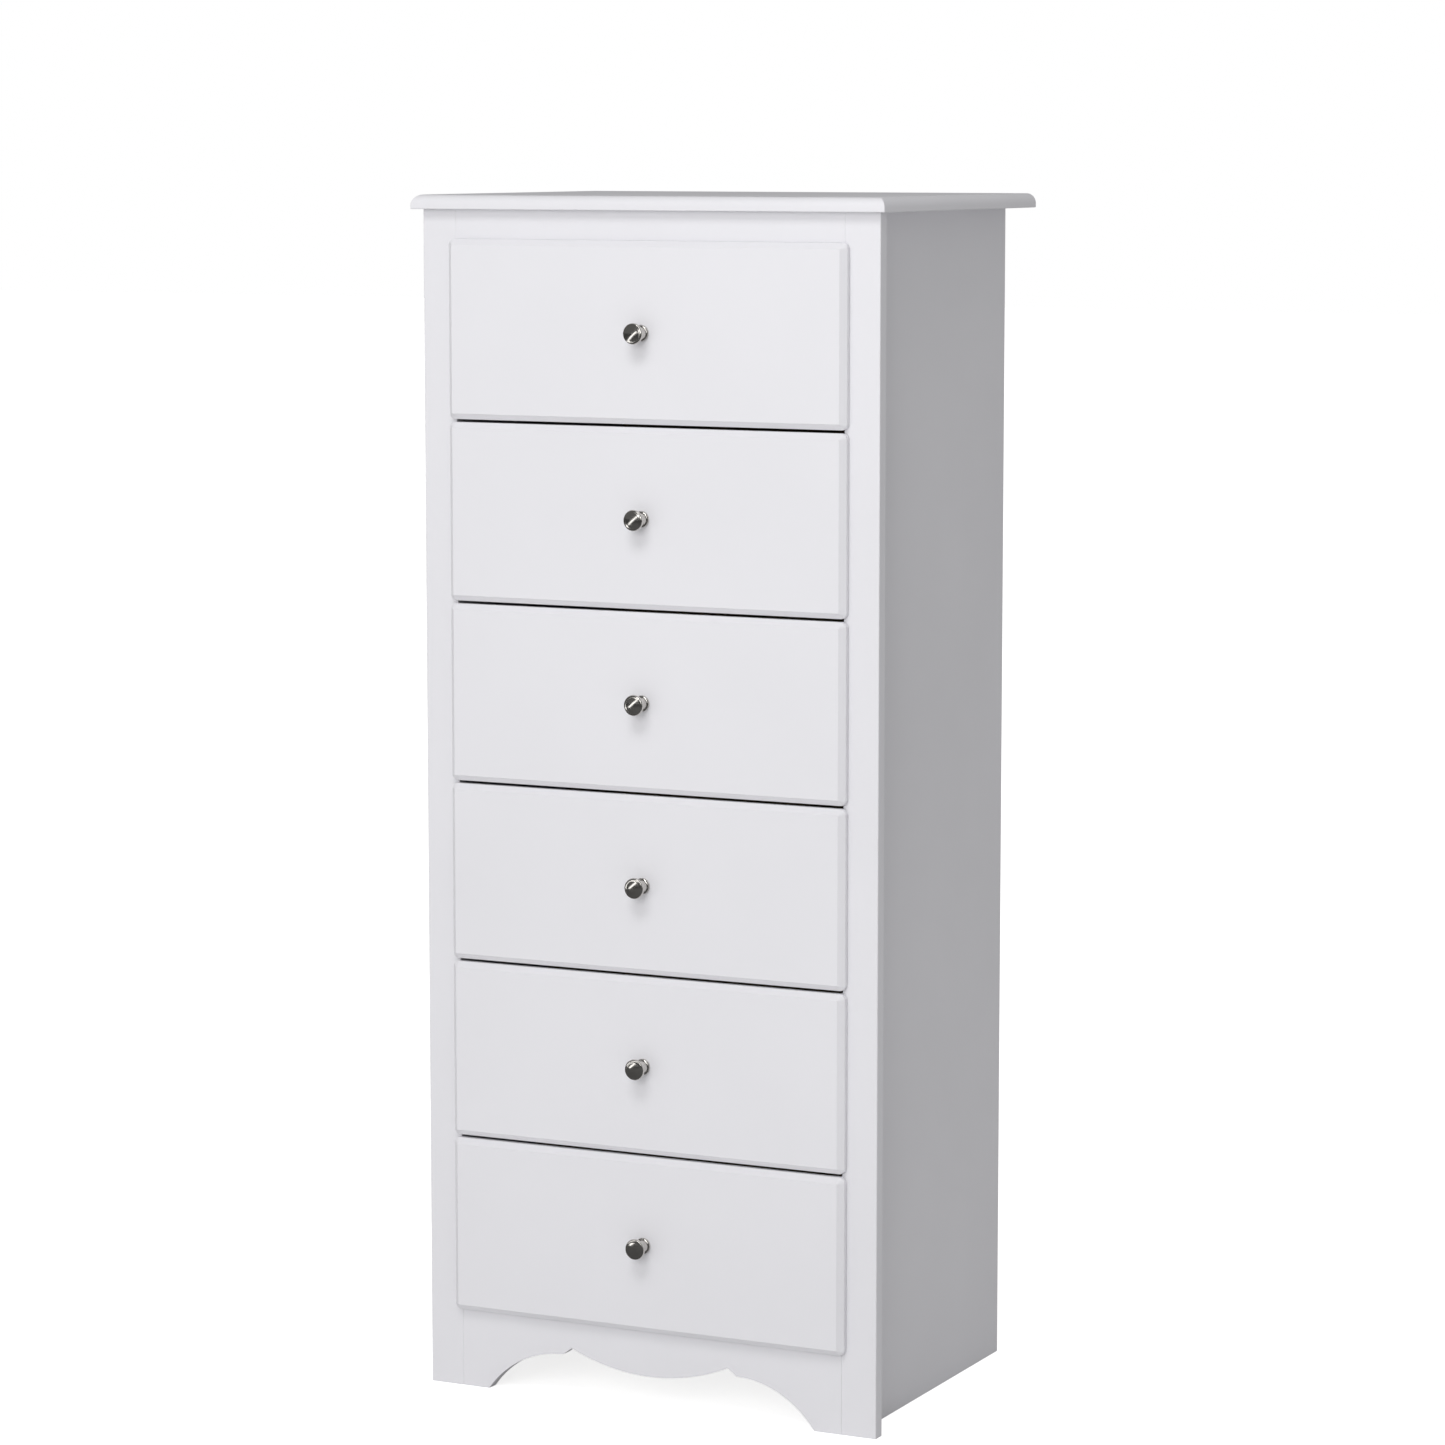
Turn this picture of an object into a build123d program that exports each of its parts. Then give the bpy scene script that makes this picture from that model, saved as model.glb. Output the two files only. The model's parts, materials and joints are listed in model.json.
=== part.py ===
from build123d import *
import os
from math import asin, degrees

# A tall, narrow chest of six drawers: a face frame of two stiles, a top rail and a scalloped apron, on a
# case of two side panels that stand back from the stiles' outer edges. Each drawer has a lipped front that
# laps over the frame, a box of thin boards, one round metal knob and a pair of steel slide rails.
#
# Millimetres. +X is to the right as seen from the front, +Y to the back, +Z up. The origin is on the floor,
# under the middle of the whole object's box.

# Driving dimensions: the case
total_height = 1270
top_thickness = 15
top_overhang_side = 9
top_overhang_front = 11
top_roundover = 10.5
case_width = 524              # over the stiles' outer edges
case_depth = 383              # from the frame's front face to the case's back
stile_width = 39
frame_thickness = 15
side_inset = 26               # from a stile's outer edge to the side panel's outer face
panel_thickness = 12
back_thickness = 3
back_rebate = 6
back_lower_edge = 60
base_underside = 72
top_rail_height = 36
rear_rail_height = 60
block_size = 20
block_length = 60
arris = 1

# The apron's lower edge, as heights over the floor and distances from the middle of the chest
apron_height = 90.5
foot_inner_edge = 192
bracket_middle = (150, 36)
bracket_end = (102, 47.5)
notch_peak = (92, 55)
lobe_height = 35

# Driving dimensions: the drawers
drawer_count = 6
lowest_front_bottom = 85
drawer_pitch = 190.4
drawer_gap = 3
frame_lap = 5.5               # how far a front laps over each stile
lip_thickness = 11.5
lip_standoff = 0.5            # the buffers' gap between a shut front and the frame
front_bevel = 6.2
front_corner = 6.5
tongue_depth = 6.5            # the part of a front that enters the opening
tongue_clearance = 1
tongue_margin = 7
box_board = 12
box_height = 140
box_rise = 14                 # from a front's lower edge to the box's lower edge
box_length = 340
bottom_thickness = 4
bottom_rise = 10
groove_depth = 6
groove_play = 0.2

# Driving dimensions: slide rails, knobs and screws
rail_wall = 1.2
case_rail_height = 36
case_rail_depth = 9.5
case_rail_length = 330
rail_rise = 62                # from a front's lower edge to the rails' middle
rail_play = 0.4               # between the two rails, above and below
rail_side_play = 1.2          # between a drawer rail's open edge and the case rail's web
case_rail_setback = 1         # from the frame's back to a case rail
drawer_rail_setback = 2       # from a front's tongue to a drawer rail
drawer_rail_end_gap = 3       # from a drawer rail's closed end to the box's back
slide_gap = 13                # from a side panel to a drawer side
drawer_travel = 250
stop_length = 4
stop_height = 10
stop_proud = 1                # how far a stop stands out of its rail's open edge
knob_length = 22
knob_radius = 11
knob_base_radius = 8.5
knob_base_thickness = 3
knob_base_round = (0.6, 2.6)  # a point on the base's rounded edge: in from the rim, out from the front
knob_base_wall = 1.6          # the straight part of the base's rim
knob_shoulder = 2             # from the base's rim in to where the neck starts
knob_neck_radius = 5.2
knob_neck_place = 8           # from the drawer front to the neck's narrowest place
knob_rim = 2.6
knob_head_depth = 6.5
knob_rim_round = 1
knob_dome = 0.9
screw_radius = 2
screw_clearance = 0.3         # round the screw in the drawer front
thread_play = 0.05            # round the screw in the knob
screw_head_radius = 4
screw_head_height = 2.5
screw_head_round = 1
screw_slot_width = 1
screw_slot_depth = 1
screw_in_knob = 11
knob_hole_spare = 1           # past the screw's end

# Worked-out places
front_proud = lip_standoff + lip_thickness
front_thickness = lip_thickness + tongue_depth
front_height = drawer_pitch - drawer_gap
case_top = total_height - top_thickness
half_case = case_width / 2
half_opening = half_case - stile_width
panel_outer = half_case - side_inset
panel_inner = panel_outer - panel_thickness
knob_reach = front_proud + knob_length
frame_front = (knob_reach - case_depth) / 2
frame_back = frame_front + frame_thickness
case_back = frame_front + case_depth
front_face = frame_front - front_proud
lip_back = frame_front - lip_standoff
tongue_back = lip_back + tongue_depth
box_back = tongue_back + box_length
box_outer = panel_inner - slide_gap
box_inner = box_outer - box_board
case_rail_front = frame_back + case_rail_setback
drawer_rail_front = tongue_back + drawer_rail_setback
drawer_rail_back = box_back - drawer_rail_end_gap


def board(x_span, y_span, z_span):
    """A rectangular board between the lowest and highest coordinates of three spans."""
    size = [span[1] - span[0] for span in (x_span, y_span, z_span)]
    middle = [(span[0] + span[1]) / 2 for span in (x_span, y_span, z_span)]
    return Pos(*middle) * Box(*size)


def both_sides(piece):
    """A piece on the right and its mirror image on the left."""
    return [piece, mirror(piece, about=Plane.YZ)]


def group(pieces):
    """Separate solids kept together as one node."""
    return Compound([solid for piece in pieces for solid in piece.solids()])


def save(name, shape):
    export_step(shape, f"parts/{name}.step")


# Case

def top_panel():
    """The top board: quarter-round over a small square lip at the front and at both sides."""
    reach = half_case + top_overhang_side
    front = frame_front - top_overhang_front
    top = board((-reach, reach), (front, case_back), (case_top, total_height))
    upper = top.faces().sort_by(Axis.Z)[-1].edges().sort_by(Axis.Y)[:-1]
    top = fillet(upper, top_roundover)
    lower = top.faces().sort_by(Axis.Z)[0].edges().sort_by(Axis.Y)[:-1]
    return fillet(lower, arris)


def stile():
    """The right-hand stile, with its front corner edge eased."""
    post = board((half_opening, half_case), (frame_front, frame_back), (0, case_top))
    outer_front = post.edges().filter_by(Axis.Z).group_by(Axis.Y)[0].sort_by(Axis.X)[-1]
    return fillet(outer_front, arris)


def side_panel():
    """The right-hand side panel, rebated at the back for the back panel."""
    panel = board((panel_inner, panel_outer), (frame_back, case_back), (0, case_top))
    rebate = board((panel_inner, panel_inner + back_rebate),
                   (case_back - back_thickness, case_back), (back_lower_edge, case_top))
    return panel - rebate


def top_rail():
    return board((-half_opening, half_opening), (frame_front, frame_back),
                 (case_top - top_rail_height, case_top))


def apron_edge(side):
    """The bracket foot's curve and the notch beside the lobe, from the foot inwards."""
    points = [(side * x, z) for x, z in ((foot_inner_edge, 0), bracket_middle, bracket_end, notch_peak)]
    return [ThreePointArc(*points[:3]), Line(points[2], points[3])]


def apron():
    """The apron between the stiles: bracket feet, a notch on each side and a hanging middle lobe."""
    lobe = ThreePointArc((-notch_peak[0], notch_peak[1]), (0, lobe_height), notch_peak)
    sides = Polyline((foot_inner_edge, 0), (half_opening, 0), (half_opening, apron_height),
                     (-half_opening, apron_height), (-half_opening, 0), (-foot_inner_edge, 0))
    outline = make_face([lobe, sides, *apron_edge(1), *apron_edge(-1)])
    return extrude(Plane((0, frame_back, 0), x_dir=(1, 0, 0), z_dir=(0, -1, 0)) * outline,
                   amount=frame_thickness)


def base_panel():
    return board((-panel_inner, panel_inner), (frame_back, case_back - back_thickness),
                 (base_underside, base_underside + panel_thickness))


def rear_top_rail():
    back = case_back - back_thickness
    return board((-panel_inner, panel_inner), (back - panel_thickness, back),
                 (case_top - rear_rail_height, case_top))


def back_panel():
    reach = panel_inner + back_rebate
    return board((-reach, reach), (case_back - back_thickness, case_back), (back_lower_edge, case_top))


def corner_blocks():
    """Glued blocks, alike, that hold the side panels to the top board and to the base panel."""
    blocks = []
    front = frame_back + block_size
    rear = case_back - back_thickness - panel_thickness - block_size - block_length
    for y in (front, rear):
        for z in (case_top - block_size, base_underside - block_size):
            block = board((panel_inner - block_size, panel_inner), (y, y + block_length), (z, z + block_size))
            blocks += both_sides(block)
    return group(blocks)


# Slide rails

def channel(web, edge, y_span, middle, height):
    """A steel channel on the right: its web's outer face at x = web, its open edge at x = edge."""
    x_span = sorted((web, edge))
    inside = sorted((web + (rail_wall if edge > web else -rail_wall), edge + (edge - web)))
    hollow = height / 2 - rail_wall
    return (board(x_span, y_span, (middle - height / 2, middle + height / 2))
            - board(inside, (y_span[0] - 1, y_span[1] + 1), (middle - hollow, middle + hollow)))


def case_rail(middle):
    """A rail screwed to the side panel, with a stop that the drawer rail's closed end runs up to."""
    opening = panel_inner - case_rail_depth
    rail = channel(panel_inner, opening, (case_rail_front, case_rail_front + case_rail_length),
                   middle, case_rail_height)
    stop_back = drawer_rail_back - rail_wall - drawer_travel - rail_play
    stop = board((opening - stop_proud, panel_inner - rail_wall), (stop_back - stop_length, stop_back),
                 (middle - stop_height / 2, middle + stop_height / 2))
    return rail + stop


def drawer_rail(middle):
    """A rail on the drawer side that runs inside the case rail. Its rear end is closed."""
    height = case_rail_height - 2 * (rail_wall + rail_play)
    edge = panel_inner - rail_wall - rail_side_play
    rail = channel(box_outer, edge, (drawer_rail_front, drawer_rail_back), middle, height)
    end = board((box_outer, edge), (drawer_rail_back - rail_wall, drawer_rail_back),
                (middle - height / 2, middle + height / 2))
    return rail + end


# Drawers

def front_bottom(number):
    """Height of the lower edge of a drawer's front. Drawer 1 is at the top."""
    return lowest_front_bottom + drawer_pitch * (drawer_count - number)


def bottom_groove(z):
    """The space that the drawer's bottom panel takes up in the boards around it."""
    low = z + box_rise + bottom_rise - groove_play
    reach = box_inner + groove_depth
    return board((-reach, reach), (tongue_back - groove_depth, box_back + 1),
                 (low, low + bottom_thickness + 2 * groove_play))


def drawer_front(z):
    """A lipped front: bevelled all round, round at the corners, with a tongue that enters the opening."""
    reach = half_opening + frame_lap
    middle = z + front_height / 2
    plane = Plane((0, lip_back, middle), x_dir=(1, 0, 0), z_dir=(0, -1, 0))
    lip = extrude(plane * RectangleRounded(2 * reach, front_height, front_corner), amount=lip_thickness)
    lip = chamfer(lip.faces().sort_by(Axis.Y)[0].edges(), front_bevel)
    tongue_reach = half_opening - tongue_clearance
    tongue = board((-tongue_reach, tongue_reach), (lip_back, tongue_back),
                   (z + tongue_margin, z + front_height - tongue_margin))
    screw_hole = Plane.XZ.offset(-tongue_back) * Pos(0, middle) * Circle(screw_radius + screw_clearance)
    return lip + tongue - bottom_groove(z) - extrude(screw_hole, amount=front_thickness)


def drawer_side(z):
    side = board((box_inner, box_outer), (tongue_back, box_back), (z + box_rise, z + box_rise + box_height))
    return side - bottom_groove(z)


def drawer_back(z):
    """The back board stands on the bottom panel, between the sides."""
    low = z + box_rise + bottom_rise + bottom_thickness
    return board((-box_inner, box_inner), (box_back - box_board, box_back), (low, z + box_rise + box_height))


def drawer_bottom(z):
    low = z + box_rise + bottom_rise
    reach = box_inner + groove_depth - 2 * groove_play
    return board((-reach, reach), (tongue_back - groove_depth + groove_play, box_back),
                 (low, low + bottom_thickness))


def knob(z):
    """A turned mushroom knob: a round base, a waisted neck, a rimmed and slightly domed head, a blind hole."""
    rim = knob_length - knob_dome
    rim_edge = knob_radius - knob_rim_round
    head_back = knob_length - knob_head_depth
    base = knob_base_radius
    round_in, round_out = knob_base_round
    shoulder = base - knob_shoulder
    dome = knob_radius - knob_rim
    sphere = (dome**2 + knob_dome**2) / (2 * knob_dome)
    hole = screw_radius + thread_play
    hole_end = screw_in_knob + knob_hole_spare
    outline = [
        Polyline((0, -knob_length), (0, -hole_end), (hole, -hole_end), (hole, 0), (base, 0),
                 (base, -knob_base_wall)),
        ThreePointArc((base, -knob_base_wall), (base - round_in, -round_out),
                      (shoulder, -knob_base_thickness)),
        ThreePointArc((shoulder, -knob_base_thickness), (knob_neck_radius, -knob_neck_place),
                      (base, -head_back)),
        ThreePointArc((base, -head_back), (knob_radius, (-head_back - rim) / 2), (rim_edge, -rim)),
        Line((rim_edge, -rim), (dome, -rim)),
        CenterArc((0, sphere - knob_length), sphere, 270, degrees(asin(dome / sphere))),
    ]
    return Pos(0, front_face, z + front_height / 2) * revolve(make_face(outline), Axis.Y)


def knob_screw(z):
    """A machine screw from inside the drawer, through the front, into the knob."""
    shank = extrude(Plane.XZ * Circle(screw_radius), amount=front_thickness + screw_in_knob)
    head = extrude(Plane.XZ * Circle(screw_head_radius), amount=-screw_head_height)
    head = fillet(head.edges().sort_by(Axis.Y)[-1], screw_head_round)
    slot = board((-screw_head_radius, screw_head_radius),
                 (screw_head_height - screw_slot_depth, screw_head_height + screw_slot_depth),
                 (-screw_slot_width / 2, screw_slot_width / 2))
    return Pos(0, tongue_back, z + front_height / 2) * (shank + head - slot)


def save_case():
    save("top_panel", top_panel())
    for name, piece in (("stile", stile()), ("side_panel", side_panel())):
        right, left = both_sides(piece)
        save(f"{name}_right", right)
        save(f"{name}_left", left)
    save("top_rail", top_rail())
    save("apron", apron())
    save("base_panel", base_panel())
    save("rear_top_rail", rear_top_rail())
    save("back_panel", back_panel())
    save("corner_blocks", corner_blocks())
    heights = [front_bottom(number) + rail_rise for number in range(1, drawer_count + 1)]
    save("case_rails", group([rail for z in heights for rail in both_sides(case_rail(z))]))


def save_drawer(number):
    z = front_bottom(number)
    right, left = both_sides(drawer_side(z))
    save(f"drawer_{number}_front", drawer_front(z))
    save(f"drawer_{number}_side_right", right)
    save(f"drawer_{number}_side_left", left)
    save(f"drawer_{number}_back", drawer_back(z))
    save(f"drawer_{number}_bottom", drawer_bottom(z))
    save(f"drawer_{number}_rails", group(both_sides(drawer_rail(z + rail_rise))))
    save(f"drawer_{number}_knob", knob(z))
    save(f"drawer_{number}_knob_screw", knob_screw(z))


os.makedirs("parts", exist_ok=True)
save_case()
for drawer in range(1, drawer_count + 1):
    save_drawer(drawer)
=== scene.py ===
import json
from math import atan2, cos, pi, radians, sin

import bmesh
import bpy
from bpy.props import FloatProperty, FloatVectorProperty, IntProperty, PointerProperty
from mathutils import Matrix, Vector

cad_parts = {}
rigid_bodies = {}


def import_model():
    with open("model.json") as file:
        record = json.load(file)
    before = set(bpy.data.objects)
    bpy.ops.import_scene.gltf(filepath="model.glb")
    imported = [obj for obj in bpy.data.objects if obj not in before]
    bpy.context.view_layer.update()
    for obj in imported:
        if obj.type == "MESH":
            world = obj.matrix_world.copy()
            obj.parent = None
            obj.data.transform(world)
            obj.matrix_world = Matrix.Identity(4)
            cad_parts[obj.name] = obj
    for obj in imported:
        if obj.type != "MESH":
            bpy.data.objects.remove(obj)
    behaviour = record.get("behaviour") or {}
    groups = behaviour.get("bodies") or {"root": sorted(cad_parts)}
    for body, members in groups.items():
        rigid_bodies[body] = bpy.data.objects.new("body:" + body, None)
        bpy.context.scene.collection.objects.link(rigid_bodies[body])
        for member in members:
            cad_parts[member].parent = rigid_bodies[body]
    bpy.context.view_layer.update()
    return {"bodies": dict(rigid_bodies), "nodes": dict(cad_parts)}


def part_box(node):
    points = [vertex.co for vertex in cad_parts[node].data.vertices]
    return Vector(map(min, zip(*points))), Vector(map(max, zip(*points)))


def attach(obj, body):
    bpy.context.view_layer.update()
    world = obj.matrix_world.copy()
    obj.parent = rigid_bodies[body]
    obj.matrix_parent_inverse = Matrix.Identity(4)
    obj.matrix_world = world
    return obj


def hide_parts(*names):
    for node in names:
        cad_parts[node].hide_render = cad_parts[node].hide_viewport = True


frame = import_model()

MM = 0.001
DRAWERS = sorted({name for name in frame["bodies"] if name.startswith("drawer_")})

TOUCHING = MM / 100   # places nearer than this are one place
LEVEL = MM / 10       # heights and depths nearer than this are the same

# Heads of the fixings: radius, and height over the surface
BACK_NAIL = (2.6 * MM, 0.5 * MM)
BOX_NAIL = (2.2 * MM, 0.5 * MM)
BOX_SCREW = (3.4 * MM, 0.8 * MM)
RAIL_SCREW = (3.6 * MM, 0.9 * MM)
CAM = (7.0 * MM, 0.7 * MM)

bl_info = {
    "name": "Tall Chest of Drawers",
    "version": (1, 0, 0),
    "blender": (4, 5, 0),
    "location": "3D View > Sidebar > Chest",
    "description": "Boards, drawers, slides, knobs and studio for a painted chest of six drawers",
    "category": "Object",
}


# Settings

def length(name, description, millimetres):
    return FloatProperty(name=name, description=description, default=millimetres * MM, min=0.0,
                         unit="LENGTH", precision=5)


def colour(name, description, *default):
    return FloatVectorProperty(name=name, description=description, subtype="COLOR", default=default,
                               min=0.0, max=1.0)


class ChestShape(bpy.types.PropertyGroup):
    """Sizes of the edges and mouldings."""
    ease: length("Eased Edge", "Radius of a painted board's sanded edges", 0.5)
    frame_corner: length("Frame Corner", "Radius of the stiles' outer front edges", 1.2)
    roundover: length("Top Roundover", "Radius of the quarter-round on the top board", 10.5)
    top_lip: length("Top Lip Edge", "Radius of the top board's lower front and side edges", 1.0)
    front_lip: length("Front Lip", "Thickness of a drawer front's lip over the frame", 11.5)
    front_bevel: length("Front Bevel", "Width and depth of the bevel round a drawer front", 6.2)
    front_corner: length("Front Corner", "Radius of a drawer front's four corners", 6.5)
    bevel_foot: length("Bevel Foot", "Reach of the soft edge between lip and bevel", 0.8)
    bevel_crown: length("Bevel Crown", "Reach of the soft edge between bevel and face", 0.22)
    tongue_side: length("Tongue Side", "From a drawer front's end to the end of its tongue", 6.5)
    tongue_margin: length("Tongue Margin", "From a front's top and bottom edges to its tongue", 7.0)
    groove_depth: length("Groove Depth", "Depth of the grooves that hold a drawer's bottom", 6.0)
    groove_play: length("Groove Play", "Gap over and under a drawer's bottom in its grooves", 0.2)
    box_ease: length("Drawer Side Edge", "Radius of a drawer box's upper edges", 2.0)
    knob_steps: IntProperty(name="Knob Steps", description="Faces round a knob", default=72, min=12)


class ChestFinish(bpy.types.PropertyGroup):
    """Colours of the materials."""
    paint: colour("Paint", "Colour of the satin paint", 0.80, 0.795, 0.825)
    faced: colour("Faced Board", "Colour of the board behind the drawers", 0.74, 0.73, 0.71)
    early: colour("Pine, Early Wood", "Colour of the wide pale rings", 0.73, 0.53, 0.32)
    late: colour("Pine, Late Wood", "Colour of the narrow dark rings", 0.50, 0.29, 0.13)
    hardboard: colour("Hardboard", "Colour of the pressed fibre board", 0.33, 0.205, 0.115)
    nickel: colour("Nickel", "Colour of the knobs' plating", 0.62, 0.60, 0.57)
    zinc: colour("Zinc", "Colour of the screws' and fittings' plating", 0.66, 0.66, 0.64)
    enamel: colour("Rail Enamel", "Colour of the coating on the slide rails", 0.78, 0.78, 0.76)


class ChestStage(bpy.types.PropertyGroup):
    """Camera and studio light."""
    camera_place: FloatVectorProperty(
        name="Camera Place", description="Where the camera stands", subtype="XYZ", unit="LENGTH",
        precision=4, default=(2.1883, -4.4504, 1.3269))
    camera_turn: FloatProperty(
        name="Camera Turn", description="Angle of the view to the left of straight ahead",
        default=radians(26.177), subtype="ANGLE")
    camera_tilt: FloatProperty(
        name="Camera Tilt", description="Angle of the view below the horizon",
        default=radians(7.098), subtype="ANGLE")
    lens: FloatProperty(
        name="Lens", description="Focal length on a 36 mm sensor", default=116.64, min=1.0,
        unit="CAMERA")
    key: FloatProperty(
        name="Key Light", description="Power of the large soft light in front", default=66.0,
        unit="POWER")
    high: FloatProperty(
        name="High Light", description="Power of the soft light high in front", default=42.0,
        unit="POWER")
    strip: FloatProperty(
        name="Strip Light", description="Power of the narrow leaning light that streaks the knobs",
        default=4.5, unit="POWER")
    key_turn: FloatProperty(
        name="Key Turn", description="Angle of the front lights to the right of straight in front",
        default=radians(9.0), subtype="ANGLE")
    ambient: FloatProperty(
        name="Ambient", description="Brightness of the studio's walls", default=0.45, min=0.0)
    backdrop: FloatProperty(
        name="Backdrop", description="Brightness of the plain background", default=1.0, min=0.0)


# Modelling helpers

def along(axis):
    """The direction of an axis, 0 to 2."""
    return Vector([float(index == axis) for index in range(3)])


def convex_edges(bm, degrees=30.0):
    """Outer edges whose two faces meet at more than this angle."""
    bmesh.ops.recalc_face_normals(bm, faces=bm.faces[:])
    return [edge for edge in bm.edges if len(edge.link_faces) == 2 and edge.is_convex
            and edge.calc_face_angle(0.0) > radians(degrees)]


def edges_where(bm, test):
    """Edges whose two ends both pass a test."""
    return [edge for edge in bm.edges if all(test(vert.co) for vert in edge.verts)]


def edges_along(edges, axis):
    """Those edges that run along an axis."""
    return [edge for edge in edges if abs((edge.verts[0].co - edge.verts[1].co)[axis]) > MM]


def round_edges(bm, edges, radius, steps=3, mark=True):
    """Rounds edges. The narrow new faces are marked in the arris layer, where the finish wears."""
    arris = bm.faces.layers.float.get("arris") or bm.faces.layers.float.new("arris")
    made = bmesh.ops.bevel(bm, geom=edges, offset=radius, offset_type="OFFSET", segments=steps,
                           profile=0.5, affect="EDGES", clamp_overlap=True, material=-1)
    for face in made["faces"]:
        face[arris] = float(mark)


def add_box(bm, low, high):
    """Adds a box between two corners and returns its vertices."""
    low, high = Vector(low), Vector(high)
    place = Matrix.Translation((low + high) / 2) @ Matrix.Diagonal((*(high - low), 1.0))
    return bmesh.ops.create_cube(bm, size=1.0, matrix=place)["verts"]


def eased_board(low, high, radius):
    """A board with every edge eased."""
    bm = bmesh.new()
    add_box(bm, low, high)
    round_edges(bm, bm.edges[:], radius)
    return bm


def pull(bm, faces, offset):
    """Extrudes faces by an offset and returns the first moved one. A lone outline stays behind."""
    in_shell = all(len(edge.link_faces) == 2 for face in faces for edge in face.edges)
    made = bmesh.ops.extrude_face_region(bm, geom=faces)["geom"]
    bmesh.ops.translate(bm, verts=[item for item in made if isinstance(item, bmesh.types.BMVert)],
                        vec=offset)
    if in_shell:
        bmesh.ops.delete(bm, geom=faces, context="FACES")
    return next(item for item in made if isinstance(item, bmesh.types.BMFace))


def cut_out(bm, face, low, high, axes):
    """Cuts a flat face with planes across the axes at low and high; returns the part between."""
    middle = face.calc_center_bounds()
    for axis in axes:
        middle[axis] = (low[axis] + high[axis]) / 2
    for axis in axes:
        for limit in (low[axis], high[axis]):
            reach = [vert.co[axis] for vert in face.verts]
            if not min(reach) + TOUCHING < limit < max(reach) - TOUCHING:
                continue
            cut = bmesh.ops.bisect_plane(bm, geom=[face, *face.edges, *face.verts],
                                         plane_co=along(axis) * limit, plane_no=along(axis))
            parts = [item for item in cut["geom"] if isinstance(item, bmesh.types.BMFace)]
            face = next(part for part in parts if bmesh.geometry.intersect_face_point(part, middle))
    return face


def farthest_face(bm, direction):
    """The largest of the faces that lie farthest in a direction."""
    direction = Vector(direction)
    reach = max(face.calc_center_median().dot(direction) for face in bm.faces)
    outer = [face for face in bm.faces
             if face.calc_center_median().dot(direction) > reach - TOUCHING]
    return max(outer, key=lambda face: face.calc_area())


def spread(low, high, margin, count):
    """Evenly spaced places between two ends, starting a margin in from each."""
    return [low + margin + (high - low - 2 * margin) * step / (count - 1) for step in range(count)]


def add_arc(bm, start, middle, end, steps):
    """Adds an arc of edges from a vertex through two places, and returns its last vertex."""
    first, to_middle, to_end = start.co.copy(), Vector(middle) - start.co, Vector(end) - start.co
    axis = to_middle.cross(to_end)
    centre = first + (axis.cross(to_middle) * to_end.length_squared
                      + to_end.cross(axis) * to_middle.length_squared) / (2 * axis.length_squared)
    axis.normalize()
    begins, ends = first - centre, Vector(end) - centre
    turn = atan2(axis.dot(begins.cross(ends)), begins.dot(ends)) % (2 * pi)
    spun = bmesh.ops.spin(bm, geom=[start], cent=centre, axis=axis, angle=turn, steps=steps,
                          use_merge=False)
    return next(item for item in spun["geom_last"] if isinstance(item, bmesh.types.BMVert))


def add_line(bm, start, end):
    """Adds a straight edge from a vertex to a place, and returns its last vertex."""
    last = bm.verts.new(end)
    bm.edges.new((start, last))
    return last


def add_head(bm, place, outward, radius, height, top=0.72, steps=20):
    """Adds a nail's or screw's low round head on a surface that faces outward."""
    outward = Vector(outward)
    turn = outward.to_track_quat("Z", "Y").to_matrix().to_4x4()
    middle = Matrix.Translation(Vector(place) + outward * height / 2)
    return bmesh.ops.create_cone(bm, cap_ends=True, cap_tris=False, segments=steps, radius1=radius,
                                 radius2=radius * top, depth=height, matrix=middle @ turn)["verts"]


def add_driven_head(bm, place, outward, radius, height):
    """Adds a screw head or cam with a sunk middle for the driver."""
    verts = add_head(bm, place, outward, radius, height, top=0.86, steps=24)
    faces = {face for vert in verts for face in vert.link_faces}
    cap = max(faces, key=lambda face: face.calc_center_median().dot(Vector(outward)))
    for rim, sink in ((0.42, 0.0), (0.10, 0.6)):
        bmesh.ops.inset_region(bm, faces=[cap], thickness=radius * rim, depth=-height * sink,
                               use_even_offset=True)


def piece(name, bm, material, body, slot, *replaced):
    """Makes the finished object, rides it on its body and hides the CAD nodes it stands for."""
    bmesh.ops.recalc_face_normals(bm, faces=bm.faces[:])
    mesh = bpy.data.meshes.new(name)
    bm.to_mesh(mesh)
    bm.free()
    made = bpy.data.objects.new(name, mesh)
    bpy.context.scene.collection.objects.link(made)
    mesh.materials.append(material)
    mesh.shade_smooth()
    mesh.set_sharp_from_angle(angle=radians(50.0))
    made.modifiers.new("Flat Faces", "WEIGHTED_NORMAL").keep_sharp = True
    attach(made, body)
    if replaced:
        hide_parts(*replaced)
    return made


def refinish(node, material):
    """Gives a CAD node that is shown as it is its finished material."""
    materials = frame["nodes"][node].data.materials
    materials.clear()
    materials.append(material)


# Material helpers

def add_node(tree, kind, **settings):
    node = tree.nodes.new(kind)
    for name, value in settings.items():
        setattr(node, name, value)
    return node


def feed(tree, socket, value):
    """Sets a socket to a number or colour, or links it to another socket."""
    if isinstance(value, bpy.types.NodeSocket):
        tree.links.new(value, socket)
    elif isinstance(value, (int, float)) or len(value) != 3 or socket.type == "VECTOR":
        socket.default_value = value
    else:
        socket.default_value = (*value, 1.0)


def feed_all(tree, node, **values):
    """Feeds a node's inputs by their names and returns its outputs."""
    for label, value in values.items():
        feed(tree, node.inputs[label.replace("_", " ").title()], value)
    return node.outputs


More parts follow.
